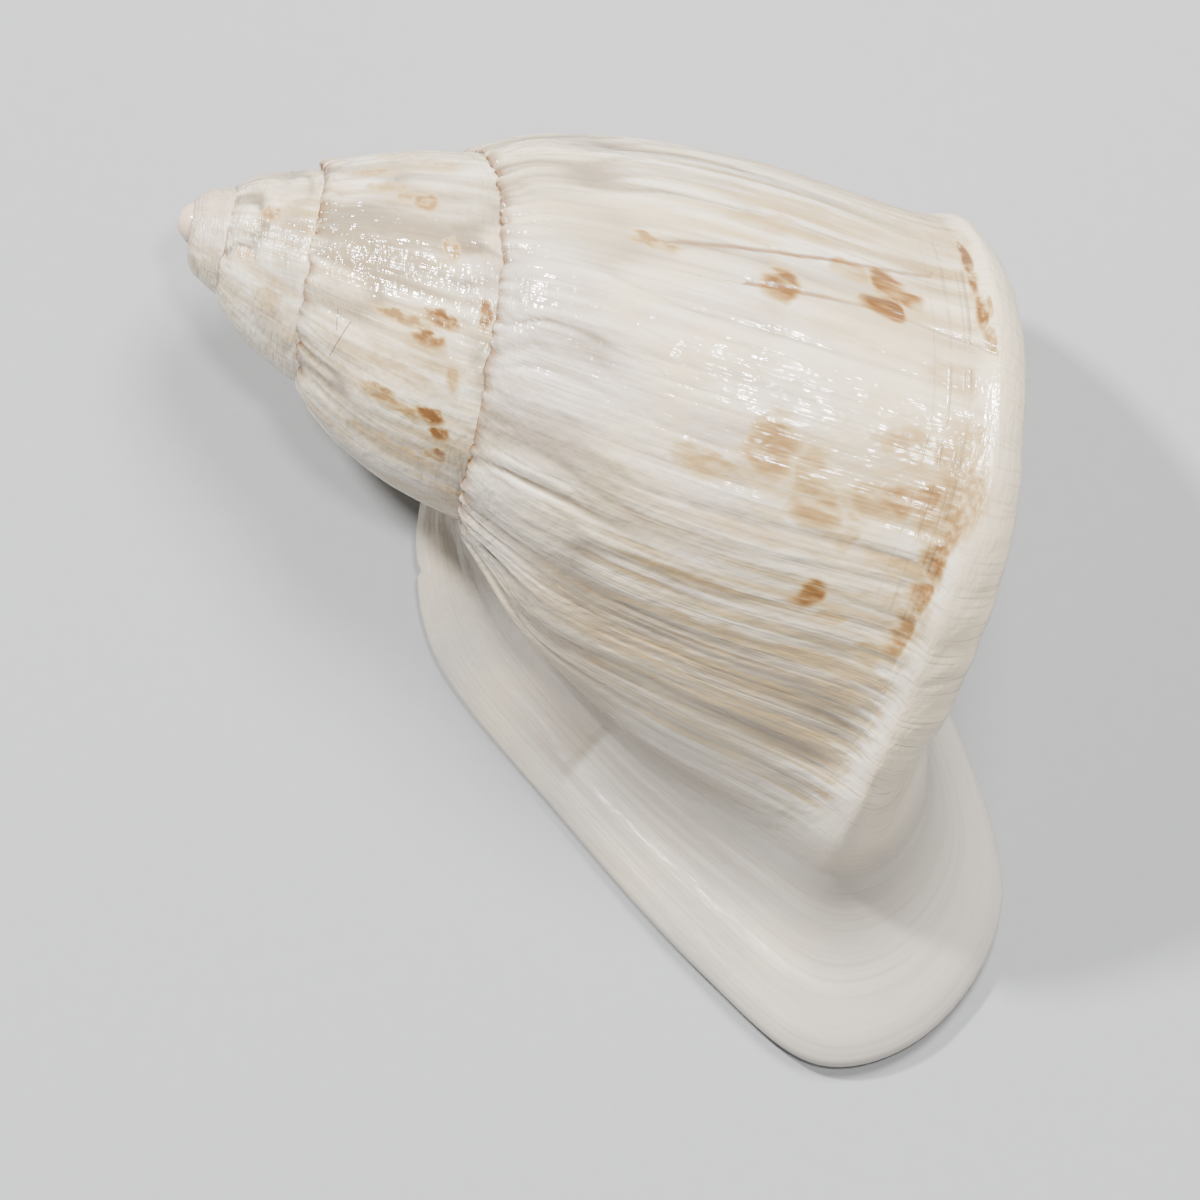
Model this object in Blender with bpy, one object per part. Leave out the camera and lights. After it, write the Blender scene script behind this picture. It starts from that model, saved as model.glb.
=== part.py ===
# Land snail shell with a flared, ear-shaped mouth, lying mouth down on its lip.
# The wall is one sheet that coils round an axis. The sheet is a loft: sections by angle of
# growth, each a row of named features, with the mouth's last sections given in full.
# X runs from the apex towards the base, +Z is up through the back, and the lip rests at Z = 0.
import math

import bmesh
import bpy
import numpy as np

MM = 0.001

# Driving dimensions, in millimetres
WALL_THICK = 0.9
LIP_THICK = 1.4
EARLY_THICK = 0.55
REST_DEPTH = 11.75  # from the coiling axis down to the surface that the shell lies on
CENTRE_ALONG = 29.555  # middle of the shell's length, from the apex
CENTRE_ASIDE = 11.411  # middle of the shell's width, from the coiling axis
APEX_RADIUS = 1.25
APEX_ALONG = 0.95
APEX_ASIDE = -0.35

# Growth angles in degrees: 0 is the right side, 90 the middle of the back, 180 the mouth's side
HOLLOW_FROM = -420
SEAMS = (-1260, -1100, -760, -420, -80)  # all on the underside
MOUTH_ANGLE = 246
MOUTH_FROM = 190
TIP_STEP = 18
WHORL_STEP = 12
MOUTH_STEP = 7
ROLL_STEPS = 3
TONGUE_ANGLE = 5  # each length of whorl runs this far into the next one's wall, a little thinner
TONGUE_INSET = 0.3  # share of the wall by which its end draws in on each side
SOLID_TONGUE_INSET = 0.5

FEATURES = ("root", "suture", "shoulder", "upper wall", "wall", "crease",
            "hem crest", "hem foot", "base", "umbilicus rim", "pillar", "heel")
SPANS = (1, 2, 2, 2, 2, 3, 3, 3, 2, 1, 1)  # spans between one feature and the next

# (radius from the axis, distance from the apex) of each feature, at each growth angle
SECTIONS = {
    -1260: ((0.3, 0.3), (0.4, 0.2), (0.5, 0.2), (0.6, 0.3), (0.7, 0.4), (0.8, 0.6),
            (0.8, 0.8), (0.7, 1.0), (0.6, 1.1), (0.5, 1.1), (0.4, 1.0), (0.3, 0.8)),
    -1080: ((1.1, 0.5), (1.5, 0.4), (2.0, 0.6), (2.4, 1.0), (2.7, 1.6), (2.9, 2.2),
            (2.9, 2.8), (2.6, 3.3), (2.0, 3.5), (1.1, 3.3), (0.8, 2.7), (0.6, 1.6)),
    -900: ((1.5, 1.3), (2.0, 1.1), (2.5, 1.4), (3.0, 2.2), (3.4, 3.2), (3.6, 4.0),
           (3.6, 4.7), (3.2, 5.3), (2.4, 5.6), (1.3, 5.3), (0.9, 4.4), (0.7, 2.8)),
    -720: ((2.2, 2.7), (2.9, 2.5), (3.6, 3.0), (4.4, 4.1), (5.0, 5.4), (5.5, 6.8),
           (5.5, 7.8), (5.0, 8.7), (3.6, 9.1), (1.6, 8.7), (1.0, 7.3), (0.9, 4.2)),
    -540: ((2.9, 3.9), (3.7, 3.6), (4.7, 4.5), (5.8, 6.2), (6.6, 8.1), (7.1, 9.9),
           (7.2, 11.2), (6.6, 12.4), (4.8, 13.2), (1.9, 12.5), (1.1, 10.5), (1.1, 6.6)),
    -360: ((4.8, 7.3), (5.8, 7.1), (6.8, 8.7), (8.1, 11.4), (9.0, 14.6), (9.4, 17.2),
           (9.3, 19.0), (8.6, 20.9), (6.2, 22.3), (2.5, 21.6), (1.4, 18.0), (1.5, 12.5)),
    -270: ((5.5, 8.5), (6.5, 8.1), (7.8, 9.8), (9.2, 13.0), (10.3, 17.3), (10.5, 20.4),
           (10.4, 22.5), (9.5, 24.8), (6.8, 26.2), (2.7, 25.0), (1.5, 21.0), (1.7, 15.0)),
    -180: ((6.3, 10.2), (7.3, 9.9), (9.1, 11.8), (11.0, 15.8), (12.0, 20.6), (12.0, 24.6),
           (11.8, 27.6), (10.8, 30.4), (7.6, 31.8), (3.0, 30.0), (1.6, 25.0), (2.0, 19.0)),
    -90: ((7.4, 12.9), (8.4, 12.6), (9.8, 14.6), (11.2, 20.4), (11.8, 27.6), (11.4, 34.2),
          (11.7, 36.6), (10.9, 39.6), (8.0, 40.4), (3.2, 37.4), (1.7, 31.0), (2.2, 24.5)),
    0: ((8.4, 15.9), (9.4, 15.6), (11.0, 17.8), (12.7, 23.4), (13.5, 31.0), (13.6, 42.6),
        (14.4, 44.3), (12.7, 46.9), (9.2, 46.7), (3.5, 43.0), (1.8, 34.0), (2.4, 22.3)),
    90: ((9.8, 20.2), (10.8, 19.9), (12.3, 22.0), (13.4, 28.5), (13.8, 37.5), (13.3, 49.0),
         (14.0, 50.8), (12.4, 52.7), (8.8, 52.2), (3.7, 48.0), (1.9, 38.0), (2.6, 25.8)),
    150: ((10.7, 21.2), (11.8, 20.9), (13.2, 23.4), (14.9, 29.0), (15.8, 37.0), (16.0, 48.4),
          (16.9, 50.3), (15.6, 53.0), (11.6, 52.4), (4.4, 48.0), (2.2, 38.0), (3.0, 28.8)),
}
# (distance from the apex, out to the mouth's side, height above the axis) of each feature
MOUTH_SECTIONS = {
    190: ((21.6, 10.4, 0.2), (21.3, 12.3, 0.6), (23.6, 14.2, 1.2), (28.0, 17.2, 2.0),
          (36.5, 19.0, 2.2), (47.0, 20.4, 1.4), (49.4, 21.3, 3.0), (51.5, 20.3, 0.6),
          (51.8, 15.0, -1.6), (48.5, 8.6, -2.6), (41.5, 4.6, -3.0), (33.5, 3.2, -3.6)),
    222: ((20.0, 10.6, -3.6), (20.4, 11.4, -4.2), (22.4, 14.1, -5.4), (26.6, 18.0, -6.8),
          (34.4, 22.6, -7.4), (43.6, 26.0, -7.4), (49.5, 27.6, -7.0), (53.2, 25.0, -6.8),
          (54.0, 19.8, -6.8), (50.6, 13.8, -7.2), (44.0, 8.0, -7.8), (38.0, 4.8, -8.6)),
    246: ((18.7, 8.4, -6.6), (18.7, 9.4, -7.2), (19.5, 14.4, -9.2), (22.9, 20.6, -10.3),
          (32.6, 27.2, -10.5), (43.3, 33.6, -10.5), (51.6, 36.8, -10.5), (57.6, 32.5, -10.5),
          (59.0, 24.2, -10.5), (53.1, 15.0, -10.5), (44.0, 6.4, -10.6), (37.0, 2.4, -10.9)),
}


def control_grid():
    """Growth angles, and (radius, angle, distance from the apex) of every feature at each."""
    rows = [[(r, angle, along) for r, along in row] for angle, row in SECTIONS.items()]
    for row in MOUTH_SECTIONS.values():
        rows.append([(math.hypot(aside, up), math.degrees(math.atan2(up, -aside)) % 360, along)
                     for along, aside, up in row])
    return np.array([*SECTIONS, *MOUTH_SECTIONS], float), np.array(rows, float)


def smooth(knots, values, at):
    """Values on a smooth curve through the rows of values at the knots, read at other places."""
    gaps = np.diff(knots)
    spread = (-1,) + (1,) * (values.ndim - 1)
    slopes = np.diff(values, axis=0) / gaps.reshape(spread)
    share = (gaps[:-1] / (gaps[:-1] + gaps[1:])).reshape(spread)
    middle = slopes[1:] * share + slopes[:-1] * (1 - share)
    slope = np.concatenate([slopes[:1], middle, slopes[-1:]])
    i = np.clip(np.searchsorted(knots, at, side="right") - 1, 0, len(knots) - 2)
    gap = gaps[i].reshape(spread)
    s = ((at - knots[i]) / gaps[i]).reshape(spread)
    return (values[i] * (2 * s**3 - 3 * s**2 + 1) + slope[i] * gap * (s**3 - 2 * s**2 + s)
            + values[i + 1] * (3 * s**2 - 2 * s**3) + slope[i + 1] * gap * (s**3 - s**2))


def sheet(angles, places):
    """Points of the sheet's outer side in the shell's place, one row for each growth angle."""
    knots, grid = control_grid()
    by_angle = smooth(knots, grid, angles)
    across = np.arange(len(FEATURES), dtype=float)
    both = smooth(across, np.swapaxes(by_angle, 0, 1), places)
    radius, turn, along = np.moveaxis(np.swapaxes(both, 0, 1), -1, 0)
    turn = np.radians(turn)
    return np.stack([along - CENTRE_ALONG, radius * np.cos(turn) + CENTRE_ASIDE,
                     radius * np.sin(turn) + REST_DEPTH], -1)


def outward(angles, places):
    """Unit normals of the sheet's outer side, from small steps along both directions."""
    step_angle, step_place = 0.5, 0.02
    last = len(FEATURES) - 1
    low, high = np.maximum(places - step_place, 0), np.minimum(places + step_place, last)
    early = np.minimum(angles, MOUTH_ANGLE - step_angle)
    along = sheet(early + step_angle, places) - sheet(early - step_angle, places)
    across = sheet(angles, high) - sheet(angles, low)
    normal = np.cross(along, across)
    return normal / np.linalg.norm(normal, axis=-1, keepdims=True), along


def thickness(angles):
    """Wall thickness at each growth angle: thin at the tip, thick at the lip."""
    knots = np.array([HOLLOW_FROM, 0, MOUTH_FROM, MOUTH_ANGLE], float)
    values = np.array([EARLY_THICK, WALL_THICK, WALL_THICK, LIP_THICK])
    return np.interp(angles, knots, values)


def split(counts):
    """Feature positions with so many even spans between one feature and the next."""
    spans = [i + np.arange(n) / n for i, n in enumerate(counts)]
    return np.concatenate([*spans, [len(counts)]])


def steps(start, end, step):
    return np.linspace(start, end, max(2, round((end - start) / step) + 1))


def closed_tube(name, rings):
    """A closed solid from rings of equal length: a skin between rings and a face on each end."""
    rows, count = rings.shape[:2]
    bm = bmesh.new()
    verts = [[bm.verts.new(p * MM) for p in ring] for ring in rings]
    for a, b in zip(verts, verts[1:]):
        for i in range(count):
            j = (i + 1) % count
            bm.faces.new((a[i], b[i], b[j], a[j]))
    for ring in (verts[0], verts[-1]):
        for i in range((count - 1) // 2):
            strip = (ring[i], ring[i + 1], ring[count - 2 - i], ring[count - 1 - i])
            bm.faces.new(tuple(dict.fromkeys(strip)))
    bmesh.ops.recalc_face_normals(bm, faces=bm.faces)
    mesh = bpy.data.meshes.new(name)
    bm.to_mesh(mesh)
    bm.free()
    return bpy.data.objects.new(name, mesh)


def solid_whorls(name, start, end):
    """Early whorls, filled: each ring is the section's own outline, closed along the pillar."""
    angles = np.append(steps(start, end, TIP_STEP), end + TONGUE_ANGLE)
    places = split(SPANS)
    rings = sheet(angles, places)
    normal, _ = outward(angles[-1:], places)
    rings[-1] -= normal[0] * thickness(angles[-1:]) * SOLID_TONGUE_INSET
    return closed_tube(name, rings)


def hollow_whorls(name, start, end):
    """Later whorls: each ring runs out along the sheet's outer side and back along its inner."""
    angles = steps(start, min(end, MOUTH_FROM), WHORL_STEP)
    last = end == MOUTH_ANGLE
    if last:
        angles = np.append(angles[:-1], steps(MOUTH_FROM, end, MOUTH_STEP))
    else:
        angles = np.append(angles, end + TONGUE_ANGLE)
    places = split(SPANS)
    outer = sheet(angles, places)
    normal, along = outward(angles, places)
    depth = normal * thickness(angles)[:, None, None]
    inner = outer - depth
    if not last:
        outer[-1] -= depth[-1] * TONGUE_INSET
        inner[-1] += depth[-1] * TONGUE_INSET
    rings = np.concatenate([outer, inner[:, ::-1]], axis=1)
    if last:
        rings = np.concatenate([rings, lip_roll(outer[-1], normal[-1], along[-1])])
    return closed_tube(name, rings)


def lip_roll(edge, normal, along):
    """Rings that round the lip's edge over, each closer to the middle of the lip's thickness."""
    ahead = along - normal * np.sum(along * normal, -1, keepdims=True)
    ahead /= np.linalg.norm(ahead, axis=-1, keepdims=True)
    middle, half = edge - normal * LIP_THICK / 2, LIP_THICK / 2
    rings = []
    for turn in np.radians(np.linspace(0, 90, ROLL_STEPS + 1)[1:-1]):
        lift, reach = half * math.cos(turn), half * math.sin(turn)
        rings.append(np.concatenate([middle + normal * lift + ahead * reach,
                                     (middle - normal * lift + ahead * reach)[::-1]]))
    return np.array(rings)


def apex_dome():
    bm = bmesh.new()
    bmesh.ops.create_uvsphere(bm, u_segments=16, v_segments=10, radius=APEX_RADIUS * MM)
    shift = np.array([APEX_ALONG - CENTRE_ALONG, CENTRE_ASIDE - APEX_ASIDE, REST_DEPTH]) * MM
    bmesh.ops.translate(bm, verts=bm.verts, vec=shift)
    mesh = bpy.data.meshes.new("apex dome")
    bm.to_mesh(mesh)
    bm.free()
    return bpy.data.objects.new("apex dome", mesh)


def rest_cutter():
    """A block under the resting surface, which leaves small flat spots where the shell lies."""
    side, depth = 120, 10
    bm = bmesh.new()
    bmesh.ops.create_cube(bm, size=1)
    bmesh.ops.scale(bm, verts=bm.verts, vec=(side * MM, side * MM, depth * MM))
    bmesh.ops.translate(bm, verts=bm.verts, vec=(0, 0, -depth / 2 * MM))
    mesh = bpy.data.meshes.new("rest cutter")
    bm.to_mesh(mesh)
    bm.free()
    return bpy.data.objects.new("rest cutter", mesh)


def combine(target, others, operation):
    """Boolean modifiers on the target. The EXACT solver leaves open edges on these whorls."""
    for other in others:
        modifier = target.modifiers.new(f"{operation} {other.name}", "BOOLEAN")
        modifier.operation = operation
        modifier.object = other
        modifier.solver = "MANIFOLD"


def shell_material():
    material = bpy.data.materials.new("glossy ivory shell")
    material.use_nodes = True
    shader = material.node_tree.nodes["Principled BSDF"]
    shader.inputs["Base Color"].default_value = (0.80, 0.74, 0.66, 1)
    shader.inputs["Roughness"].default_value = 0.25
    shader.inputs["Metallic"].default_value = 0.0
    return material


def main():
    for obj in list(bpy.data.objects):
        bpy.data.objects.remove(obj)
    part = bpy.data.collections.new("land snail shell")
    helpers = bpy.data.collections.new("helpers")
    for collection in (part, helpers):
        bpy.context.scene.collection.children.link(collection)

    ends = [*SEAMS[1:], MOUTH_ANGLE]
    pieces = []
    for number, (start, end) in enumerate(zip(SEAMS, ends)):
        make = hollow_whorls if start >= HOLLOW_FROM else solid_whorls
        pieces.append(make(f"whorls {number}", start, end))
    shell = pieces.pop()
    shell.name = "shell"
    part.objects.link(shell)
    helper_objects = [*reversed(pieces), apex_dome(), rest_cutter()]
    for helper in helper_objects:
        helpers.objects.link(helper)
        helper.hide_render = True
        helper.display_type = "WIRE"
    combine(shell, helper_objects[:-1], "UNION")
    combine(shell, helper_objects[-1:], "DIFFERENCE")
    shell.data.materials.append(shell_material())
    shell.data.shade_smooth()


main()
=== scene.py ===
import math

import bmesh
import bpy
import numpy as np
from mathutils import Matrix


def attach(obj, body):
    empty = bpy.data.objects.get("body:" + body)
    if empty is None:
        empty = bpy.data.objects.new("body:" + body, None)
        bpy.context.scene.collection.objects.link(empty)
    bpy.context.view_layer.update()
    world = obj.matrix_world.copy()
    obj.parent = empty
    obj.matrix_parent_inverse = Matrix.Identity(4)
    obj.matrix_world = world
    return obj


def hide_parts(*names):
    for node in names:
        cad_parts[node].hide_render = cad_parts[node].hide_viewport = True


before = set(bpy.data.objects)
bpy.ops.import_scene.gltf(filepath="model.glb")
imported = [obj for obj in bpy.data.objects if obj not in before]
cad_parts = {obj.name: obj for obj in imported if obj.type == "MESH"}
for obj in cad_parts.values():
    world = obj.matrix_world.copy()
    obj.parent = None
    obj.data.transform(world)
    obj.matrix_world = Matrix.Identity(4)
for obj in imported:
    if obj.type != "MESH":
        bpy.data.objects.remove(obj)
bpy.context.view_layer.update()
print("frame loaded")

mm = 0.001

# ---- camera, floor and light ----
view = {
    "turn": 17,  # degrees from the picture's level to the shell's axis
    "pictureWidth": 72,  # mm of the shell's plane across the picture
    "middleX": 1.17, "middleY": -2.85,  # mm, the point under the picture's middle
    "planeHeight": 14,  # mm above the floor
    "distance": 1000,
}


def addCamera(v):
    lens = bpy.data.cameras.new("camera")
    lens.sensor_width = 36
    lens.lens = 36 * v["distance"] / v["pictureWidth"]
    lens.clip_start, lens.clip_end = 0.05, 20
    camera = bpy.data.objects.new("camera", lens)
    camera.location = (v["middleX"] * mm, v["middleY"] * mm, (v["planeHeight"] + v["distance"]) * mm)
    camera.rotation_euler = (0, 0, math.radians(v["turn"]))
    bpy.context.scene.collection.objects.link(camera)
    bpy.context.scene.camera = camera


studio = {
    # name: (place in mm from the shell, right, up the picture, height), size in mm, watts
    "lampLeft": ((-440, 500, 640), 90, 15.0),
    "lampOver": ((110, 150, 1000), 100, 6.5),
    "softTop": ((200, 620, 860), 360, 19.0),
    "leftFill": ((-700, 150, 420), 450, 0.6),
    "rightFill": ((650, -300, 380), 450, 1.0),
    "skyStrength": 0.18,
    "skyColour": (1.0, 0.99, 0.975),
}


def addLights(s):
    turn = math.radians(view["turn"])
    for name in ("lampLeft", "lampOver", "softTop", "leftFill", "rightFill"):
        (right, up, high), size, watts = s[name]
        lamp = bpy.data.lights.new(name, "AREA")
        lamp.shape = "DISK"
        lamp.size, lamp.energy = size * mm, watts
        obj = bpy.data.objects.new(name, lamp)
        x = right * math.cos(turn) - up * math.sin(turn)
        y = right * math.sin(turn) + up * math.cos(turn)
        obj.location = (x * mm, y * mm, high * mm)
        away = math.atan2(math.hypot(x, y), high)
        obj.rotation_euler = (0, away, math.atan2(y, x))
        obj.visible_glossy = name.startswith("lamp")  # the soft lights give no reflection
        bpy.context.scene.collection.objects.link(obj)
    world = bpy.data.worlds.new("studio air")
    world.use_nodes = True
    world.node_tree.nodes["Background"].inputs["Color"].default_value = (*s["skyColour"], 1)
    world.node_tree.nodes["Background"].inputs["Strength"].default_value = s["skyStrength"]
    bpy.context.scene.world = world


class Wire:
    # a node's output: + - * / and ** on it add Math nodes, and node() adds any other one

    def __init__(self, tree, socket=None):
        self.tree, self.socket = tree, socket

    def node(self, kind, settings=None, inputs=None, out=0):
        made = self.tree.nodes.new("ShaderNode" + kind)
        for name, value in (settings or {}).items():
            setattr(made, name, value)
        for key, value in (inputs or {}).items():
            if isinstance(value, Wire):
                self.tree.links.new(value.socket, made.inputs[key])
            else:
                made.inputs[key].default_value = value
        return Wire(self.tree, made.outputs[out])

    def maths(self, operation, *values):
        return self.node("Math", {"operation": operation}, dict(enumerate(values)))

    def __add__(self, other): return self.maths("ADD", self, other)
    def __radd__(self, other): return self.maths("ADD", other, self)
    def __sub__(self, other): return self.maths("SUBTRACT", self, other)
    def __rsub__(self, other): return self.maths("SUBTRACT", other, self)
    def __mul__(self, other): return self.maths("MULTIPLY", self, other)
    def __rmul__(self, other): return self.maths("MULTIPLY", other, self)
    def __truediv__(self, other): return self.maths("DIVIDE", self, other)
    def __pow__(self, other): return self.maths("POWER", self, other)

    def ramp(self, low, high):
        # 0 below low, 1 above high and an S-curve between; low may be the larger one
        return self.node("MapRange", {"interpolation_type": "SMOOTHSTEP"},
                         {"Value": self, "From Min": low, "From Max": high})

    def blend(self, first, second):
        # the first colour where this value is 0, and the second where it is 1
        sockets = {0: self}
        for slot, colour in ((6, first), (7, second)):
            sockets[slot] = colour if isinstance(colour, Wire) else (*colour, 1)
        return self.node("Mix", {"data_type": "RGBA"}, sockets, out=2)


def newMaterial(name):
    material = bpy.data.materials.new(name)
    material.use_nodes = True
    return material, Wire(material.node_tree), material.node_tree.nodes["Principled BSDF"]


def addFloor():
    size = 3.0
    mesh = bpy.data.meshes.new("studioFloor")
    corners = [(-size, -size, 0), (size, -size, 0), (size, size, 0), (-size, size, 0)]
    mesh.from_pydata(corners, [], [(0, 1, 2, 3)])
    floor = bpy.data.objects.new("studioFloor", mesh)
    bpy.context.scene.collection.objects.link(floor)
    material, wire, shader = newMaterial("pale paper floor")
    place = wire.node("TexCoord", out="Object")
    grain = wire.node("TexNoise", inputs={"Vector": place, "Scale": 900.0, "Detail": 3.0})
    tone = grain.blend((0.37, 0.375, 0.38), (0.40, 0.405, 0.41))
    wire.tree.links.new(tone.socket, shader.inputs["Base Color"])
    shader.inputs["Roughness"].default_value = 0.9
    mesh.materials.append(material)


addCamera(view)
addLights(studio)
addFloor()
print("camera, lights and floor")

# ---- the shell's surface ----
coil = {
    "restDepth": 11.75,  # mm from the coiling axis down to the floor
    "centreAlong": 29.555, "centreAside": 11.411,  # mm, the row's middle from the apex and the axis
    "seams": (-1260, -1100, -760, -420, -80, 246),  # growth angles, all on the underside
    "hollowFrom": -420,
    "tongue": 5,  # degrees that each length runs on into the next one's wall
    "wall": ((-1260, 0.55), (-450, 0.55), (0, 0.9), (190, 0.9), (246, 1.4)),  # mm thick by angle
    # (radius, distance from the apex) of root, suture, shoulder, upper wall, wall, crease,
    # hem crest, hem foot, base, umbilicus rim, pillar and heel, by growth angle
    "sections": {
        -1260: ((0.3, 0.3), (0.4, 0.2), (0.5, 0.2), (0.6, 0.3), (0.7, 0.4), (0.8, 0.6),
                (0.8, 0.8), (0.7, 1.0), (0.6, 1.1), (0.5, 1.1), (0.4, 1.0), (0.3, 0.8)),
        -1080: ((1.1, 0.5), (1.5, 0.4), (2.0, 0.6), (2.4, 1.0), (2.7, 1.6), (2.9, 2.2),
                (2.9, 2.8), (2.6, 3.3), (2.0, 3.5), (1.1, 3.3), (0.8, 2.7), (0.6, 1.6)),
        -900: ((1.5, 1.3), (2.0, 1.1), (2.5, 1.4), (3.0, 2.2), (3.4, 3.2), (3.6, 4.0),
               (3.6, 4.7), (3.2, 5.3), (2.4, 5.6), (1.3, 5.3), (0.9, 4.4), (0.7, 2.8)),
        -720: ((2.2, 2.7), (2.9, 2.5), (3.6, 3.0), (4.4, 4.1), (5.0, 5.4), (5.5, 6.8),
               (5.5, 7.8), (5.0, 8.7), (3.6, 9.1), (1.6, 8.7), (1.0, 7.3), (0.9, 4.2)),
        -540: ((2.9, 3.9), (3.7, 3.6), (4.7, 4.5), (5.8, 6.2), (6.6, 8.1), (7.1, 9.9),
               (7.2, 11.2), (6.6, 12.4), (4.8, 13.2), (1.9, 12.5), (1.1, 10.5), (1.1, 6.6)),
        -360: ((4.8, 7.3), (5.8, 7.1), (6.8, 8.7), (8.1, 11.4), (9.0, 14.6), (9.4, 17.2),
               (9.3, 19.0), (8.6, 20.9), (6.2, 22.3), (2.5, 21.6), (1.4, 18.0), (1.5, 12.5)),
        -270: ((5.5, 8.5), (6.5, 8.1), (7.8, 9.8), (9.2, 13.0), (10.3, 17.3), (10.5, 20.4),
               (10.4, 22.5), (9.5, 24.8), (6.8, 26.2), (2.7, 25.0), (1.5, 21.0), (1.7, 15.0)),
        -180: ((6.3, 10.2), (7.3, 9.9), (9.1, 11.8), (11.0, 15.8), (12.0, 20.6), (12.0, 24.6),
               (11.8, 27.6), (10.8, 30.4), (7.6, 31.8), (3.0, 30.0), (1.6, 25.0), (2.0, 19.0)),
        -90: ((7.4, 12.9), (8.4, 12.6), (9.8, 14.6), (11.2, 20.4), (11.8, 27.6), (11.4, 34.2),
              (11.7, 36.6), (10.9, 39.6), (8.0, 40.4), (3.2, 37.4), (1.7, 31.0), (2.2, 24.5)),
        0: ((8.4, 15.9), (9.4, 15.6), (11.0, 17.8), (12.7, 23.4), (13.5, 31.0), (13.6, 42.6),
            (14.4, 44.3), (12.7, 46.9), (9.2, 46.7), (3.5, 43.0), (1.8, 34.0), (2.4, 22.3)),
        90: ((9.8, 20.2), (10.8, 19.9), (12.3, 22.0), (13.4, 28.5), (13.8, 37.5), (13.3, 49.0),
             (14.0, 50.8), (12.4, 52.7), (8.8, 52.2), (3.7, 48.0), (1.9, 38.0), (2.6, 25.8)),
        150: ((10.7, 21.2), (11.8, 20.9), (13.2, 23.4), (14.9, 29.0), (15.8, 37.0), (16.0, 48.4),
              (16.9, 50.3), (15.6, 53.0), (11.6, 52.4), (4.4, 48.0), (2.2, 38.0), (3.0, 28.8)),
    },
    # (distance from the apex, out to the mouth's side, height above the axis), by growth angle
    "mouth": {
        190: ((21.6, 10.4, 0.2), (21.3, 12.3, 0.6), (23.6, 14.2, 1.2), (28.0, 17.2, 2.0),
              (36.5, 19.0, 2.2), (47.0, 20.4, 1.4), (49.4, 21.3, 3.0), (51.5, 20.3, 0.6),
              (51.8, 15.0, -1.6), (48.5, 8.6, -2.6), (41.5, 4.6, -3.0), (33.5, 3.2, -3.6)),
        222: ((20.0, 10.6, -3.6), (20.4, 11.4, -4.2), (22.4, 14.1, -5.4), (26.6, 18.0, -6.8),
              (34.4, 22.6, -7.4), (43.6, 26.0, -7.4), (49.5, 27.6, -7.0), (53.2, 25.0, -6.8),
              (54.0, 19.8, -6.8), (50.6, 13.8, -7.2), (44.0, 8.0, -7.8), (38.0, 4.8, -8.6)),
        246: ((18.7, 8.4, -6.6), (18.7, 9.4, -7.2), (19.5, 14.4, -9.2), (22.9, 20.6, -10.3),
              (32.6, 27.2, -10.5), (43.3, 33.6, -10.5), (51.6, 36.8, -10.5), (57.6, 32.5, -10.5),
              (59.0, 24.2, -10.5), (53.1, 15.0, -10.5), (44.0, 6.4, -10.6), (37.0, 2.4, -10.9)),
    },
    "apexDome": (1.25, 0.95, -0.35),  # radius, distance along, distance aside
}

relief = {
    "fineLines": 0.014, "fineGap": 0.34,  # mm high and mm apart
    "threads": 0.055, "threadGap": 0.66,
    "folds": 0.32, "foldGap": 1.75,
    "swells": 0.14, "swellGap": 5.0,
    "pleats": 0.22, "pleatGap": 0.42,  # at the suture
    "hemWaves": 0.2, "hemWaveGap": 3.6,
    "hemSink": 0.25,  # mm that the hem lies under the smooth sheet
    "smoothFrom": 200, "smoothTo": 226,  # growth angles over which the lip turns smooth
    "restLineDepth": 0.13, "restLineHalf": 0.9,  # mm, degrees
    # growth angle of each line where growth once stopped, by place across the sheet
    "restLines": (((2.9, 58), (3.58, 53), (4.1, 49.5), (4.5, 44.5), (5.0, 38)),
                  ((3.4, 64), (4.08, 60.5), (4.48, 57.5), (4.78, 58.5), (5.9, 61))),
    "firstTurns": (-1050, -600),  # growth angles over which the spire's relief sets in
    "lipStep": 0.15, "lipStepAt": 3.86, "lipStepReach": 0.5,
    "trough": 0.55,  # mm deep round the flared lip, inside its rim
    "lineFar": 8.0,  # what the rest lines' attributes hold away from the lines
    "rimSwell": 0.25,
    "lipRidges": 0.05, "lipRidgeGap": 1.4,
    "chipAt": 2.22, "chipHalf": 0.05, "chipDepth": 0.42,
}


def sCurve(x, low, high):
    s = np.clip((x - low) / (high - low), 0, 1)
    return s * s * (3 - 2 * s)


def smoothThrough(knots, values, at):
    # a cubic between neighbouring knots, whose slope at each knot is the weighted slope about it
    gaps = np.diff(knots)
    spread = (-1,) + (1,) * (values.ndim - 1)
    slopes = np.diff(values, axis=0) / gaps.reshape(spread)
    share = (gaps[:-1] / (gaps[:-1] + gaps[1:])).reshape(spread)
    slope = np.concatenate([slopes[:1], slopes[1:] * share + slopes[:-1] * (1 - share), slopes[-1:]])
    i = np.clip(np.searchsorted(knots, at, side="right") - 1, 0, len(knots) - 2)
    gap = gaps[i].reshape(spread)
    s = ((at - knots[i]) / gaps[i]).reshape(spread)
    return (values[i] * (2 * s**3 - 3 * s**2 + 1) + slope[i] * gap * (s**3 - 2 * s**2 + s)
            + values[i + 1] * (3 * s**2 - 2 * s**3) + slope[i + 1] * gap * (s**3 - s**2))


def controlGrid(c):
    # every section as rows of radius, turn and distance along; the mouth's points are turned into the same
    rows = [[(r, angle, along) for r, along in row] for angle, row in c["sections"].items()]
    rows += [[(math.hypot(aside, up), math.degrees(math.atan2(up, -aside)) % 360, along)
              for along, aside, up in row] for row in c["mouth"].values()]
    return np.array([*c["sections"], *c["mouth"]], float), np.array(rows, float)


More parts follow.
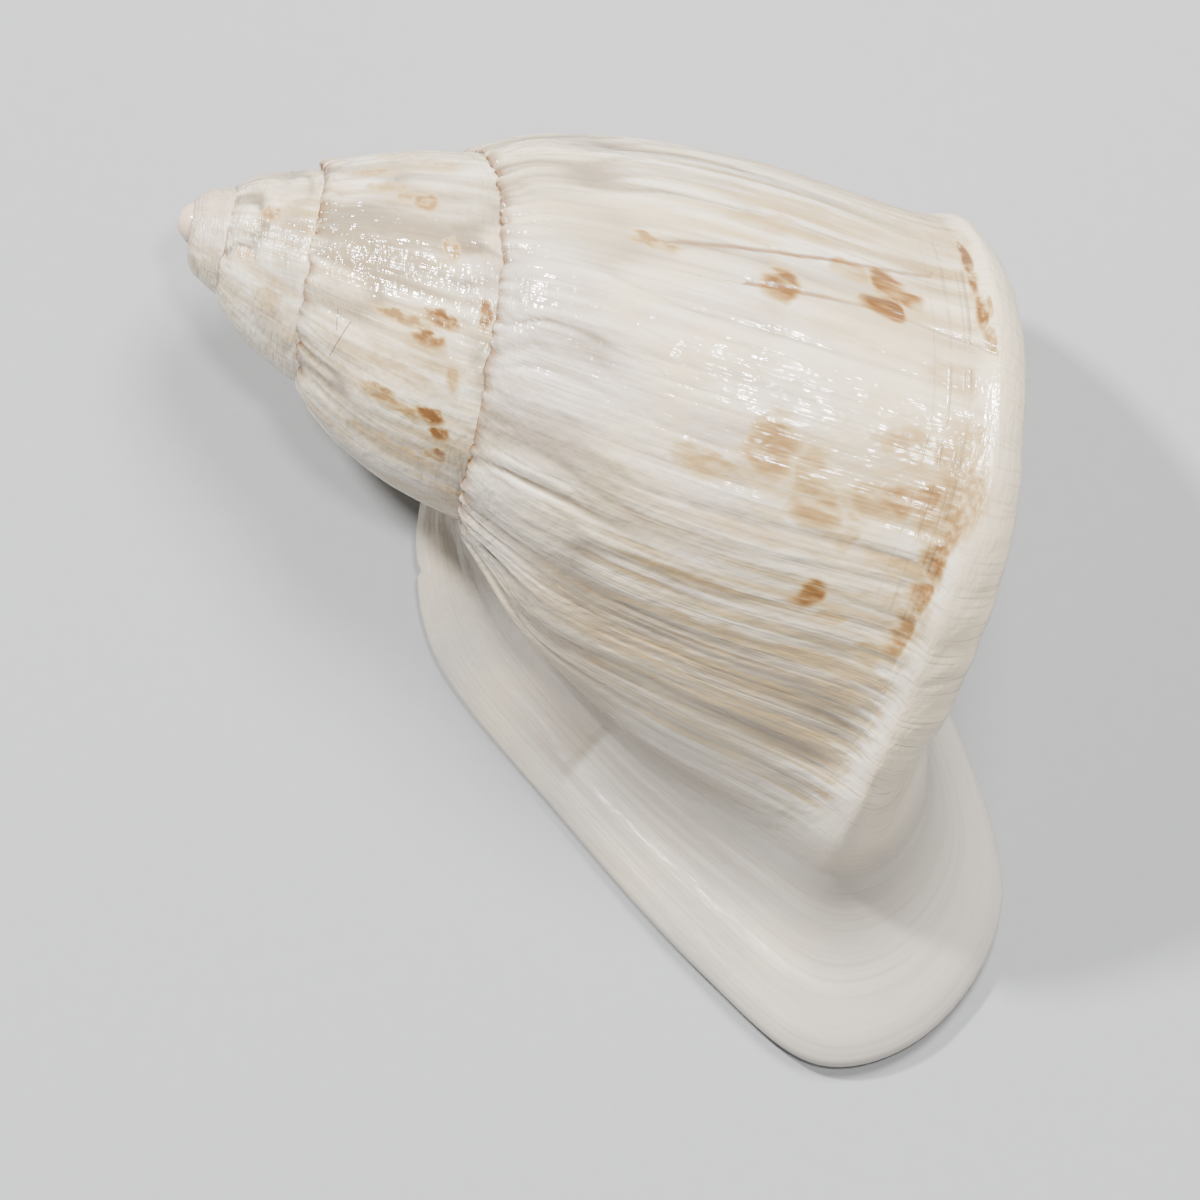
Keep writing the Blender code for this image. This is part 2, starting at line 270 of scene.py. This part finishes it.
knotAngles, knotGrid = controlGrid(coil)
spans = np.diff(np.array(coil["sections"][90]), axis=0)
acrossKnots = np.concatenate([[0], np.cumsum(np.sqrt(np.hypot(*spans.T)))])  # closer where features are


def sheetCylinder(growth, across):
    # radius, turn in degrees and distance from the apex at each growth angle and place across
    rows = np.swapaxes(smoothThrough(knotAngles, knotGrid, growth), 0, 1)
    whorl = smoothThrough(acrossKnots, rows, np.interp(across, np.arange(12), acrossKnots))
    mouth = smoothThrough(np.arange(12.0), rows, across)  # the flat lip turns no corners
    both = whorl + (mouth - whorl) * sCurve(growth, 190, 215)[None, :, None]
    return np.moveaxis(np.swapaxes(both, 0, 1), -1, 0)


def sheet(growth, across):
    # in mm in the row's frame: x along the axis, y and z as radius times cosine and sine of turn
    radius, turn, along = sheetCylinder(growth, across)
    turn = np.radians(turn)
    return np.stack([along - coil["centreAlong"], radius * np.cos(turn) + coil["centreAside"],
                     radius * np.sin(turn) + coil["restDepth"]], -1)


def outward(growth, across):
    # the sheet's unit normal, and the direction of growth, from small steps both ways
    early = np.minimum(growth, knotAngles[-1] - 0.5)
    ahead = sheet(early + 0.5, across) - sheet(early - 0.5, across)
    aside = (sheet(growth, np.minimum(across + 0.02, 11)) - sheet(growth, np.maximum(across - 0.02, 0)))
    normal = np.cross(ahead, aside)
    normal /= np.linalg.norm(normal, axis=-1, keepdims=True)
    ahead -= normal * np.sum(ahead * normal, -1, keepdims=True)
    return normal, ahead / np.linalg.norm(ahead, axis=-1, keepdims=True)


def noise(u, w, seed):
    # heights between -1 and 1, random at whole numbers and blended by a fifth-power curve between
    u, w = np.broadcast_arrays(np.asarray(u, float), np.asarray(w, float))
    iu, iw = np.floor(u), np.floor(w)
    su, sw = ((f**3 * (f * (f * 6 - 15) + 10)) for f in (u - iu, w - iw))

    def height(a, b):
        return np.modf(np.abs(np.sin(a * 127.1 + b * 311.7 + seed * 74.7) * 43758.5453))[0] * 2 - 1

    low = height(iu, iw) * (1 - su) + height(iu + 1, iw) * su
    high = height(iu, iw + 1) * (1 - su) + height(iu + 1, iw + 1) * su
    return low * (1 - sw) + high * sw


runAngles = np.arange(-1260, 247, 2.0)
runRadius = sheetCylinder(runAngles, np.array([3.5]))[0][:, 0]
runLengths = np.concatenate([[0], np.cumsum((runRadius[1:] + runRadius[:-1]) / 2 * np.radians(2.0))])


def runOf(growth):
    # mm grown along the whorl's wall, which keeps lines evenly spaced on small and large whorls
    return np.interp(growth, runAngles, runLengths)


def billow(u, w, seed):
    # noise folded at zero: rounded crests with sharp grooves between, about 0 on average
    return np.abs(noise(u, w, seed)) ** 0.8 - 0.42


def foldField(growth, across):
    # the shared field of the folds: place along the whorl with its wander, and their strength
    g, a = growth[:, None], across[None, :]
    run = runOf(growth)[:, None]
    wander = 0.9 * noise(run / 13, a / 1.2, 1) + 0.28 * noise(run / 4, a / 0.6, 11)
    patch = 0.68 + 0.55 * noise(run / 6, a / 1.3, 2)
    nearSeam = np.exp(-((a - 1.2) / np.where(a > 1.2, 1.25, 0.75)) ** 2)
    side = sCurve(g, 95, 130) + 1 - sCurve(g, 30, 62)
    grown = 0.12 + 0.88 * sCurve(g, *relief["firstTurns"])  # the first turns are nearly smooth
    return run + wander, (0.58 + 0.85 * nearSeam + 0.45 * side) * patch * grown


def grooveShade(growth, across, r):
    # where painted shade lies: 1 along the sharp bottoms of the folds, and 0 on their crests
    a = across[None, :]
    place, strong = foldField(growth, across)
    deep = np.exp(-(noise(place / r["foldGap"], a / 1.9, 4) / 0.17) ** 2)
    fine = np.exp(-(noise(place / r["threadGap"], a / 1.1, 12) / 0.2) ** 2)
    return np.clip((0.85 * deep + 0.4 * fine) * np.clip(strong, 0, 1.2), 0, 1)


def surfaceRelief(growth, across, r):
    # mm out from the smooth sheet: growth folds and threads that start strongly at the suture
    # and lie calm on the middle of the back, pleats at the suture, a waving hem, a smooth lip
    g, a = growth[:, None], across[None, :]
    run = runOf(growth)[:, None]
    size = np.sqrt(np.clip(np.interp(growth, runAngles, runRadius) / 13, 0.05, 1))[:, None]
    lip = sCurve(g, r["smoothFrom"], r["smoothTo"])
    place, strong = foldField(growth, across)
    height = r["fineLines"] * noise(place / r["fineGap"], a / 1.6, 3)
    threads = r["threads"] * (0.35 + strong) * billow(place / r["threadGap"], a / 1.1, 12)
    height = height + r["folds"] * strong * billow(place / r["foldGap"], a / 1.9, 4)
    grown = sCurve(g, *r["firstTurns"])
    height = height + r["swells"] * noise(place / r["swellGap"], a / 2.4, 5) * grown
    seam = np.exp(-((a - 1.12) / 0.34) ** 2) * (0.7 + 0.5 * noise(run / 3, 0, 6)) * grown
    height = height + r["pleats"] * seam * noise((run + 0.5 * (a - 1)) / r["pleatGap"], a / 3, 7)
    hem = sCurve(a, 4.95, 5.6) * (1 - sCurve(a, 7.8, 8.8)) * sCurve(g, -400, -300)
    height = (height * (1 - 0.85 * lip) + threads * (1 - 0.3 * lip)) * (1 - 0.8 * hem) * size
    waves = r["hemWaves"] * noise(run / r["hemWaveGap"], a / 5, 9) - r["hemSink"]
    height = height + waves * hem * (1 - lip)
    for line in r["restLines"]:
        places, angles = np.array(line, float).T
        off = g - np.interp(a, places, angles)
        ends = sCurve(a, places[0] - 0.1, places[0] + 0.3) * (1 - sCurve(a, places[-1] - 0.2, places[-1]))
        half, depth = r["restLineHalf"], r["restLineDepth"] * ends
        height = height - depth * np.exp(-(off / half) ** 2)
        height = height + 0.6 * depth * np.exp(-((off + 2.2 * half) / (1.6 * half)) ** 2)  # its crest
    past = a - r["lipStepAt"]
    window = sCurve(g, 218, 224) * (1 - sCurve(g, 238, 243))
    fade = np.exp(-np.maximum(past, 0) / r["lipStepReach"])
    height = height - r["lipStep"] * window * sCurve(past, -0.03, 0.03) * fade
    around = sCurve(g, 206, 224) * (1 - sCurve(g, 230, 239))
    height = height - r["trough"] * around * (0.9 + 0.15 * noise(0, a / 1.5, 13))
    height = height + r["rimSwell"] * sCurve(g, 238, 244)
    height = height + r["lipRidges"] * lip * noise(run / r["lipRidgeGap"], a / 2.5, 14)
    buried = sCurve(a, 0.5, 0.85) * (1 - sCurve(a, 9.8, 10.6))
    return height * buried


def restLineOffsets(growth, across, r):
    # degrees from each line where growth once stopped, and far more past the line's two ends
    g, a = growth[:, None], across[None, :]
    offsets = []
    for line in r["restLines"]:
        places, angles = np.array(line, float).T
        ends = sCurve(a, places[0], places[0] + 0.3) * (1 - sCurve(a, places[-1] - 0.25, places[-1]))
        off = (g - np.interp(a, places, angles)) * (1 + 60 * (1 - ends))
        offsets.append(np.clip(off, -r["lineFar"], r["lineFar"]))
    return offsets


detail = {
    # points from each feature to the next, degrees between rings
    "tip": ((1, 4, 5, 5, 5, 5, 5, 4, 3, 2, 1), 3.0),
    "spire": ((2, 7, 8, 8, 8, 7, 6, 5, 4, 3, 2), 1.4),
    "last": ((2, 12, 11, 11, 12, 12, 11, 7, 6, 4, 2), 0.75),
    "innerEvery": 5,  # one inner point for so many outer ones
    "rollSteps": 7,
    "tongueInset": 0.3, "solidTongueInset": 0.5,  # shares of the wall
}


def placesAcross(counts, extra=()):
    # evenly spaced places between each feature and the next, and any extra ones
    spans = [i + np.arange(n) / n for i, n in enumerate(counts)]
    return np.unique(np.round(np.concatenate([*spans, [len(counts)], extra]), 4))


def thickness(growth):
    angles, mmThick = np.array(coil["wall"]).T
    return np.interp(growth, angles, mmThick)


def ringSolid(name, rings, fields, capOuter, capInner):
    # a skin of quads between closed rings, and on each end a strip between outer and inner edge
    rows, count = rings.shape[:2]
    first = (np.arange(rows - 1)[:, None] * count + np.arange(count)).ravel()
    nextOne = (np.arange(rows - 1)[:, None] * count + (np.arange(count) + 1) % count).ravel()
    quads = np.stack([first, nextOne, nextOne + count, first + count], -1).tolist()
    last = (rows - 1) * count
    for i in range(len(capInner) - 1):
        strip = [*range(capOuter[i], capOuter[i + 1] + 1), capInner[i + 1], capInner[i]]
        strip = list(dict.fromkeys(strip))
        quads.append(strip[::-1])
        quads.append([p + last for p in strip])
    mesh = bpy.data.meshes.new(name)
    mesh.from_pydata(rings.reshape(-1, 3) * mm, [], quads)
    for field, values in fields.items():
        layer = mesh.attributes.new(field, "FLOAT", "POINT")
        layer.data.foreach_set("value", values.ravel().astype(np.float32))
    mesh.update()
    return bpy.data.objects.new(name, mesh)


def whorlLength(name, start, end, counts, step, extra=()):
    # one length of the coil: the sheet plus its relief, and inside it the sheet less the wall
    mouth = end == coil["seams"][-1]
    hollow = start >= coil["hollowFrom"]
    growth = np.linspace(start, end, round((end - start) / step) + 1)
    if not mouth:
        growth = np.append(growth, end + coil["tongue"])
    across = placesAcross(counts, extra)
    smoothSheet = sheet(growth, across)
    normal, ahead = outward(growth, across)
    height = surfaceRelief(growth, across, relief)
    outer = smoothSheet + normal * height[..., None]
    depth = normal * thickness(growth)[:, None, None]
    keep = np.unique(np.append(np.arange(0, len(across), detail["innerEvery"]), len(across) - 1))
    inner = (smoothSheet - depth)[:, keep]
    if not mouth:
        inset = detail["tongueInset"]
        outer[-1] = smoothSheet[-1] - depth[-1] * (inset if hollow else detail["solidTongueInset"])
        inner[-1] += depth[-1][keep] * inset
    if mouth:
        notch = np.exp(-((across - relief["chipAt"]) / relief["chipHalf"]) ** 2) * relief["chipDepth"]
        late = sCurve(growth, 240.5, 246)[:, None] * notch
        outer -= ahead * late[..., None]
        inner -= ahead[:, keep] * late[:, keep, None]
    if not hollow:
        half = len(across) // 2
        rings, placeField = outer, across
        capOuter, capInner = list(range(half + 1)), [len(across) - 1 - i for i in range(half + 1)]
    else:
        rings = np.concatenate([outer, inner[:, ::-1]], axis=1)
        placeField = np.concatenate([across, across[keep][::-1]])
        capOuter = keep.tolist()
        capInner = [len(across) + len(keep) - 1 - i for i in range(len(keep))]
    if mouth:
        rings = np.concatenate([rings, lipRoll(outer[-1], normal[-1], ahead[-1], keep)])
        growth = np.append(growth, np.full(len(rings) - len(growth), growth[-1]))
    inside, heightField, groove = (np.zeros(rings.shape[:2]) for _ in range(3))
    if hollow:
        inside[:, len(across):] = 1
    heightField[:len(height), :len(across)] = height
    groove[:len(height), :len(across)] = grooveShade(growth[:len(height)], across, relief)
    fields = {
        "run": np.broadcast_to(runOf(growth)[:, None], rings.shape[:2]),
        "growth": np.broadcast_to(growth[:, None], rings.shape[:2]),
        "across": np.broadcast_to(placeField, rings.shape[:2]),
        "inside": inside,
        "height": heightField,
        "groove": groove,
    }
    for i, offset in enumerate(restLineOffsets(growth[:len(height)], across, relief)):
        fields[f"restLine{i}"] = np.full(rings.shape[:2], relief["lineFar"])
        fields[f"restLine{i}"][:len(height), :len(across)] = offset
    return ringSolid(name, rings, fields, capOuter, capInner)


def lipRoll(edge, normal, ahead, keep):
    # the lip's edge turned over: a half circle from its outer to its inner side
    half = coil["wall"][-1][1] / 2 + relief["rimSwell"] / 2
    middle = edge - normal * half
    rings = []
    for turn in np.radians(np.linspace(0, 90, detail["rollSteps"] + 1)[1:-1]):
        lift, reach = half * math.cos(turn), half * math.sin(turn)
        top = middle + normal * lift + ahead * reach
        under = (middle - normal * lift + ahead * reach)[keep]
        rings.append(np.concatenate([top, under[::-1]]))
    return np.array(rings)


def apexDome(c):
    # the tip is a ball, made of rings
    radius, along, aside = c["apexDome"]
    turns, rises = np.linspace(0, 2 * np.pi, 49)[:-1], np.linspace(-np.pi / 2, np.pi / 2, 25)[1:-1]
    turn, rise = np.meshgrid(turns, rises)
    rings = np.stack([radius * np.sin(rise), radius * np.cos(rise) * np.cos(turn),
                      radius * np.cos(rise) * np.sin(turn)], -1)
    rings += (along - c["centreAlong"], c["centreAside"] - aside, c["restDepth"])
    fields = {"run": np.zeros(rings.shape[:2]), "growth": np.full(rings.shape[:2], -1260.0),
              "across": np.full(rings.shape[:2], 3.0)}
    for name in ("inside", "height", "groove"):
        fields[name] = np.zeros(rings.shape[:2])
    for name in ("restLine0", "restLine1"):
        fields[name] = np.full(rings.shape[:2], relief["lineFar"])
    half = rings.shape[1] // 2
    capInner = [rings.shape[1] - 1 - i for i in range(half)]
    return ringSolid("apexDome", rings, fields, list(range(half)), capInner)


def restBlock():
    # a slab under the floor, which the shell is cut with
    half, deep = 100 * mm, 20 * mm
    square = ((-half, -half), (half, -half), (half, half), (-half, half))
    corners = [(x, y, z) for z in (-deep, 0) for x, y in square]
    faces = [(3, 2, 1, 0), (4, 5, 6, 7), (0, 1, 5, 4), (1, 2, 6, 5), (2, 3, 7, 6), (3, 0, 4, 7)]
    mesh = bpy.data.meshes.new("restBlock")
    mesh.from_pydata(corners, [], faces)
    return bpy.data.objects.new("restBlock", mesh)


def joined(first, others, cutter):
    # one closed solid of all the lengths, cut flat where the shell lies on the floor
    for obj in (first, *others, cutter):
        bpy.context.scene.collection.objects.link(obj)
    for obj, operation in [(o, "UNION") for o in others] + [(cutter, "DIFFERENCE")]:
        modifier = first.modifiers.new(obj.name, "BOOLEAN")
        modifier.operation, modifier.object, modifier.solver = operation, obj, "MANIFOLD"
    graph = bpy.context.evaluated_depsgraph_get()
    mesh = bpy.data.meshes.new_from_object(first.evaluated_get(graph))
    first.modifiers.clear()
    work = bmesh.new()  # points that the cuts left doubled are merged, and their empty slivers go
    work.from_mesh(mesh)
    bmesh.ops.remove_doubles(work, verts=work.verts, dist=0.0002 * mm)
    work.to_mesh(mesh)
    work.free()
    first.data = mesh
    for obj in (*others, cutter):
        bpy.data.objects.remove(obj)
    return first


def buildShell():
    # the lengths are made from the apex on, and the last one takes in the others
    seams = coil["seams"]
    lengths = []
    for i, (start, end) in enumerate(zip(seams, seams[1:])):
        kind = "last" if start >= -80 else "spire" if start >= -420 else "tip"
        counts, step = detail[kind]
        extra = ()
        if kind == "last":
            extra = (*(relief["chipAt"] + relief["chipHalf"] * np.array([-1.5, -0.75, 0, 0.75, 1.5])),
                     relief["lipStepAt"] - 0.03, relief["lipStepAt"] + 0.03)
        lengths.append(whorlLength(f"length{i}", start, end, counts, step, extra))
    shell = lengths.pop()
    shell.name = "shellSurface"
    shell = joined(shell, [*reversed(lengths), apexDome(coil)], restBlock())
    shell.data.name = "shellSurface"
    return shell


shell = buildShell()
print("shell surface:", len(shell.data.vertices), "points,", len(shell.data.polygons), "faces")

finish = {
    "cream": (0.84, 0.70, 0.49), "milk": (0.87, 0.78, 0.64), "blush": (0.80, 0.70, 0.615),
    "sand": (0.44, 0.285, 0.115), "straw": (0.63, 0.475, 0.26), "tea": (0.235, 0.105, 0.03),
    "umber": (0.12, 0.045, 0.015), "peach": (0.66, 0.50, 0.37), "porcelain": (0.52, 0.475, 0.415),
    "shade": (0.22, 0.165, 0.105), "dusk": (0.58, 0.49, 0.375), "ink": (0.10, 0.09, 0.10),
    "gloss": 0.13, "shine": 0.85,
    "bumpDepth": 0.075,  # mm
    # brown spots: growth angle, place across, half sizes of both, strength
    "spots": ((59.5, 3.94, 4.6, 0.12, 0.8), (50.5, 4.54, 3.4, 0.08, 0.8), (55.5, 4.46, 3.2, 0.07, 0.95),
              (52, 4.62, 2.6, 0.06, 0.8), (49, 4.36, 2.4, 0.1, 0.5), (31, 5.12, 5.5, 0.13, 0.95),
              (40, 5.2, 4, 0.10, 0.8), (50, 5.3, 5, 0.14, 0.8), (57, 5.5, 3, 0.2, 0.55),
              (47, 5.5, 3, 0.12, 0.5), (100, 4.0, 7, 0.15, 0.6), (105, 4.1, 6, 0.3, 0.36),
              (108.5, 3.64, 3.2, 0.2, 0.46), (104.5, 4.24, 8, 0.09, 0.5), (111, 4.32, 5, 0.08, 0.55),
              (115, 4.47, 4.0, 0.07, 0.5), (106, 4.55, 5, 0.11, 0.5), (103.5, 4.67, 4.5, 0.09, 0.66),
              (101.5, 4.8, 5.0, 0.09, 0.7), (103, 4.4, 10, 0.6, 0.2), (88, 5.2, 9, 0.45, 0.4),
              (99, 5.3, 8, 0.7, 0.5), (107, 5.1, 6, 0.3, 0.6), (115, 5.1, 5, 0.2, 0.75),
              (124, 5.05, 5, 0.15, 0.7), (136, 5.0, 8, 0.12, 0.66), (131, 4.38, 4.4, 0.075, 0.8),
              (137, 4.54, 3.0, 0.05, 0.4), (68, 4.05, 2.4, 0.4, 0.2), (42, 3.95, 3.0, 0.3, 0.4),
              (33, 4.3, 4.0, 0.4, 0.28), (120, 4.2, 2.6, 0.5, 0.26), (152, 4.2, 2.6, 0.6, 0.36),
              (168, 4.1, 3.0, 0.6, 0.36), (180, 4.5, 2.6, 0.4, 0.36), (160, 4.75, 4.0, 0.16, 0.36),
              (145, 4.85, 4.0, 0.1, 0.4), (176, 3.5, 2.2, 0.45, 0.3), (57, 3.05, 1.6, 0.2, 0.55),
              (24, 4.9, 7, 0.5, 0.3), (10, 4.6, 7, 0.6, 0.3), (70, 4.9, 5, 0.2, 0.3),
              (-260.5, 3.28, 2.2, 0.42, 0.6), (-264, 3.82, 2.4, 0.26, 0.8), (-256, 3.72, 2.4, 0.24, 0.75),
              (-232, 3.14, 2.4, 0.34, 0.6), (-230.5, 3.44, 2.4, 0.26, 0.6), (-232.5, 3.86, 2.4, 0.21, 0.9),
              (-227.5, 3.98, 2.2, 0.17, 0.9), (-218, 3.98, 2.2, 0.19, 0.8), (-246.5, 4.18, 4.0, 0.13, 0.5),
              (-199, 4.28, 6, 0.36, 0.55), (-307, 3.38, 4.6, 0.16, 0.66), (-309, 3.06, 3.4, 0.16, 0.5),
              (-324.5, 2.36, 3.2, 0.4, 0.5), (-314, 2.7, 3.2, 0.4, 0.45), (-654.5, 3.28, 5, 0.4, 0.6),
              (-289, 3.86, 3.0, 0.1, 0.66), (-270, 4.62, 4, 0.14, 0.8), (-243, 3.3, 2.2, 0.6, 0.3),
              (-212, 3.3, 3.0, 0.8, 0.4), (-330, 3.6, 4.0, 0.4, 0.36), (-622, 2.6, 5, 0.4, 0.36),
              (-190, 3.6, 6, 0.7, 0.36), (-340, 2.9, 5, 0.5, 0.3), (-600, 3.6, 6, 0.5, 0.3)),
    # fine lines that run round the last whorl beside the hem
    "spiralLines": ((4.815, 0.010, 0.7), (4.915, 0.008, 0.6), (4.965, 0.014, 1.0), (4.72, 0.006, 0.3)),
    # two hairs of dirt on the spire: growth angle and place across of their ends
    "hairs": (((-254.5, 2.18), (-246.5, 2.26)), ((-252, 2.48), (-234.5, 2.17))),
}


def spotMask(wire, growth, across, spots):
    # the strongest of all spots; each is a soft ellipse with its own strength
    spread = wire.node("CombineXYZ", inputs={0: growth, 1: across})
    found = 0.0
    for atGrowth, atAcross, halfGrowth, halfAcross, strength in spots:
        off = wire.node("VectorMath", {"operation": "SUBTRACT"}, {0: spread, 1: (atGrowth, atAcross, 0)})
        off = wire.node("VectorMath", {"operation": "DIVIDE"}, {0: off, 1: (halfGrowth, halfAcross, 1)})
        size = wire.node("VectorMath", {"operation": "LENGTH"}, {0: off}, out="Value")
        found = wire.maths("MAXIMUM", found, size.ramp(1.7, 0.6) * (strength * 1.15))
    return found


def hairMask(wire, growth, across, hairs):
    # distance in mm from each short straight line
    found = 0.0
    degree, place = 0.17, 4.2  # mm of the spire's wall for one degree and one place across
    for start, end in hairs:
        x0, y0, x1, y1 = start[0] * degree, start[1] * place, end[0] * degree, end[1] * place
        length = math.hypot(x1 - x0, y1 - y0)
        ux, uy = (x1 - x0) / length, (y1 - y0) / length
        x, y = growth * degree - x0, across * place - y0
        along = x * ux + y * uy
        off = wire.maths("ABSOLUTE", x * uy - y * ux)
        inside = along.ramp(-0.05, 0.05) * along.ramp(length + 0.05, length - 0.05)
        found = wire.maths("MAXIMUM", found, off.ramp(0.055, 0.025) * inside)
    return found


def paintShell(f):
    # ground, streaks, stains and lines are laid over one another, each by its own mask, along with painted
    # shade of folds, hollows, fold grooves and the lip's trough
    material, wire, shader = newMaterial("glossy ivory shell")

    def field(name):
        return wire.node("Attribute", {"attribute_name": name}, out="Fac")

    def streaks(runGap, acrossGap, detail, seed):
        place = wire.node("CombineXYZ", inputs={0: run / runGap, 1: across / acrossGap, 2: seed})
        return wire.node("TexNoise", inputs={"Vector": place, "Scale": 1.0, "Detail": detail})

    run, growth, across, height = field("run"), field("growth"), field("across"), field("height")
    groove, inside = field("groove"), field("inside")
    crease = 0.0
    for name in ("restLine0", "restLine1"):
        crease = crease + wire.maths("ABSOLUTE", field(name)).ramp(0.95, 0.15)
    place = wire.node("TexCoord", out="Object")
    cloud = wire.node("TexNoise", inputs={"Vector": place, "Scale": 95.0, "Detail": 2.0})
    mottle = wire.node("TexNoise", inputs={"Vector": place, "Scale": 420.0, "Detail": 1.0})
    lip = growth.ramp(194.0, 222.0)
    spire = growth.ramp(-40.0, -140.0)
    pastApex = growth.ramp(-900.0, -700.0)
    wide = streaks(3.4, 2.2, 2.0, 3.0)
    narrow = streaks(0.8, 1.8, 2.0, 7.0)
    thread = streaks(0.26, 1.5, 1.0, 11.0)

    colour = cloud.ramp(0.38, 0.62).blend(f["cream"], f["milk"])
    back = growth.ramp(40.0, 70.0) * growth.ramp(135.0, 100.0)
    blush = cloud.ramp(0.35, 0.55) * back * across.ramp(4.6, 3.6)
    colour = (blush * 0.85).blend(colour, f["blush"])
    low = across.ramp(2.2, 3.8) * growth.ramp(100.0, 150.0) * (1 - lip)
    corner = across.ramp(2.4, 4.0) * growth.ramp(68.0, 48.0) * growth.ramp(-60.0, 0.0)
    sandy = (low * 1.15 + corner * 1.1 + spire * 0.6 + 0.25) * across.ramp(5.5, 5.05)
    colour = (sandy * narrow.ramp(0.40, 0.62) * 0.8).blend(colour, f["straw"])
    colour = (sandy * wide.ramp(0.46, 0.68) * narrow.ramp(0.38, 0.58) * 0.7).blend(colour, f["sand"])
    roll = across.ramp(5.3, 5.9) * across.ramp(8.6, 7.6) * (1 - lip)
    colour = (roll * (0.2 + cloud.ramp(0.4, 0.6) * 0.3)).blend(colour, f["straw"])
    # painted shade of broad folds: grey-tan bands along the growth lines on the body
    foldShadeBands = streaks(1.0, 3.0, 2.0, 41.0)
    colour = (foldShadeBands.ramp(0.48, 0.66) * 0.55 * across.ramp(5.3, 4.9)).blend(colour, f["dusk"])
    colour = growth.ramp(-900.0, -1090.0).blend(colour, f["peach"])
    colour = (thread.ramp(0.54, 0.72) * (0.22 + low * 0.3) * (1 - lip)).blend(colour, f["shade"])
    # painted shade: darker where the relief sinks below the smooth sheet
    hollowShade = height.ramp(0.0, -0.12) * 0.45 * (1 - lip * 0.7) * across.ramp(5.0, 4.7)
    colour = hollowShade.blend(colour, f["shade"])
    # painted shade along the sharp bottoms of the folds
    grooves = groove * (0.66 + cloud.ramp(0.4, 0.6) * 0.3) * (1 - lip) * across.ramp(5.2, 4.8)
    colour = grooves.blend(colour, f["shade"])
    colour = (lip * (0.55 + cloud.ramp(0.3, 0.6) * 0.45)).blend(colour, f["porcelain"])
    grown = streaks(0.3, 3.0, 2.0, 29.0)
    # painted shade in the sunken trough inside the lip's rim, and darker growth lines on the lip itself
    trough = growth.ramp(200.0, 216.0) * growth.ramp(240.0, 224.0) * 0.2
    colour = (trough + lip * grown.ramp(0.46, 0.72) * 0.2).blend(colour, f["shade"])

    ragged = streaks(0.55, 0.22, 2.0, 17.0)
    wavyGrowth = growth + (ragged - 0.5) * 6 + (mottle - 0.5) * 5
    spots = spotMask(wire, wavyGrowth, across + (mottle - 0.5) * 0.3, f["spots"])
    spots = spots * (0.62 + ragged.ramp(0.30, 0.62) * 0.5)
    golden = growth.ramp(72.0, 92.0) * growth.ramp(150.0, 118.0)
    golden = golden * across.ramp(3.5, 4.7) * across.ramp(5.6, 5.2)
    patchy = streaks(2.2, 0.5, 3.0, 37.0)
    spots = wire.maths("MAXIMUM", spots, golden * patchy.ramp(0.44, 0.66) * 0.62)
    colour = spots.ramp(0.0, 0.55).blend(colour, f["straw"])
    colour = (spots.ramp(0.12, 0.75) * 0.9).blend(colour, f["sand"])
    colour = (spots.ramp(0.42, 1.0) * 0.9).blend(colour, f["tea"])
    colour = (spots.ramp(0.8, 1.15) * 0.6).blend(colour, f["umber"])
    seamStain = across.ramp(1.55, 1.05) * growth.ramp(212.0, 180.0) * pastApex
    colour = (seamStain * narrow.ramp(0.3, 0.6) * 0.8).blend(colour, f["tea"])
    seamGap = across.ramp(1.12, 0.98) * growth.ramp(205.0, 170.0) * pastApex
    colour = (seamGap * narrow.ramp(0.4, 0.55)).blend(colour, f["umber"])
    stepShade = growth.ramp(218.0, 226.0) * growth.ramp(243.0, 236.0)
    stepShade = stepShade * across.ramp(3.2, 3.84) * across.ramp(3.90, 3.86)
    colour = (stepShade * 0.45).blend(colour, f["shade"])
    rings = 0.0
    for at, half, strength in f["spiralLines"]:
        off = wire.maths("ABSOLUTE", across - at + (cloud - 0.5) * 0.05 + (mottle - 0.5) * 0.012)
        rings = rings + off.ramp(half * 1.6, half * 0.3) * strength
    rings = rings * growth.ramp(10.0, 40.0) * growth.ramp(140.0, 116.0) * mottle.ramp(0.38, 0.55)
    colour = (rings * 0.5).blend(colour, f["shade"])
    colour = (crease * (0.45 + cloud.ramp(0.35, 0.6) * 0.4)).blend(colour, f["tea"])
    colour = (hairMask(wire, growth, across, f["hairs"]) * 0.85).blend(colour, f["ink"])
    colour = inside.blend(colour, f["porcelain"])
    wire.tree.links.new(colour.socket, shader.inputs["Base Color"])

    gloss = f["gloss"] + cloud.ramp(0.4, 0.7) * 0.07 + mottle.ramp(0.45, 0.7) * 0.08
    gloss = gloss + spots * 0.1 + lip * 0.12
    wire.tree.links.new(gloss.socket, shader.inputs["Roughness"])
    hammered = streaks(0.5, 0.075, 1.0, 23.0)
    dented = streaks(1.3, 0.22, 1.0, 31.0)
    ripple = thread * 0.6 + narrow * 0.8 + mottle + hammered * 0.8 + dented * 2.6
    hem = across.ramp(5.0, 5.5) * across.ramp(9.0, 8.0)
    level = ripple * (1 - lip * 0.6) * (1 - hem * 0.6) - rings * 0.7
    bump = wire.node("Bump", inputs={"Height": level, "Distance": f["bumpDepth"] * mm, "Strength": 1.0})
    wire.tree.links.new(bump.socket, shader.inputs["Normal"])
    shader.inputs["Specular IOR Level"].default_value = f["shine"]
    return material


material = paintShell(finish)
shell.data.materials.clear()
shell.data.materials.append(material)
shell.data.shade_smooth()

print("shell painted")

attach(shell, "root")
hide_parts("shell")
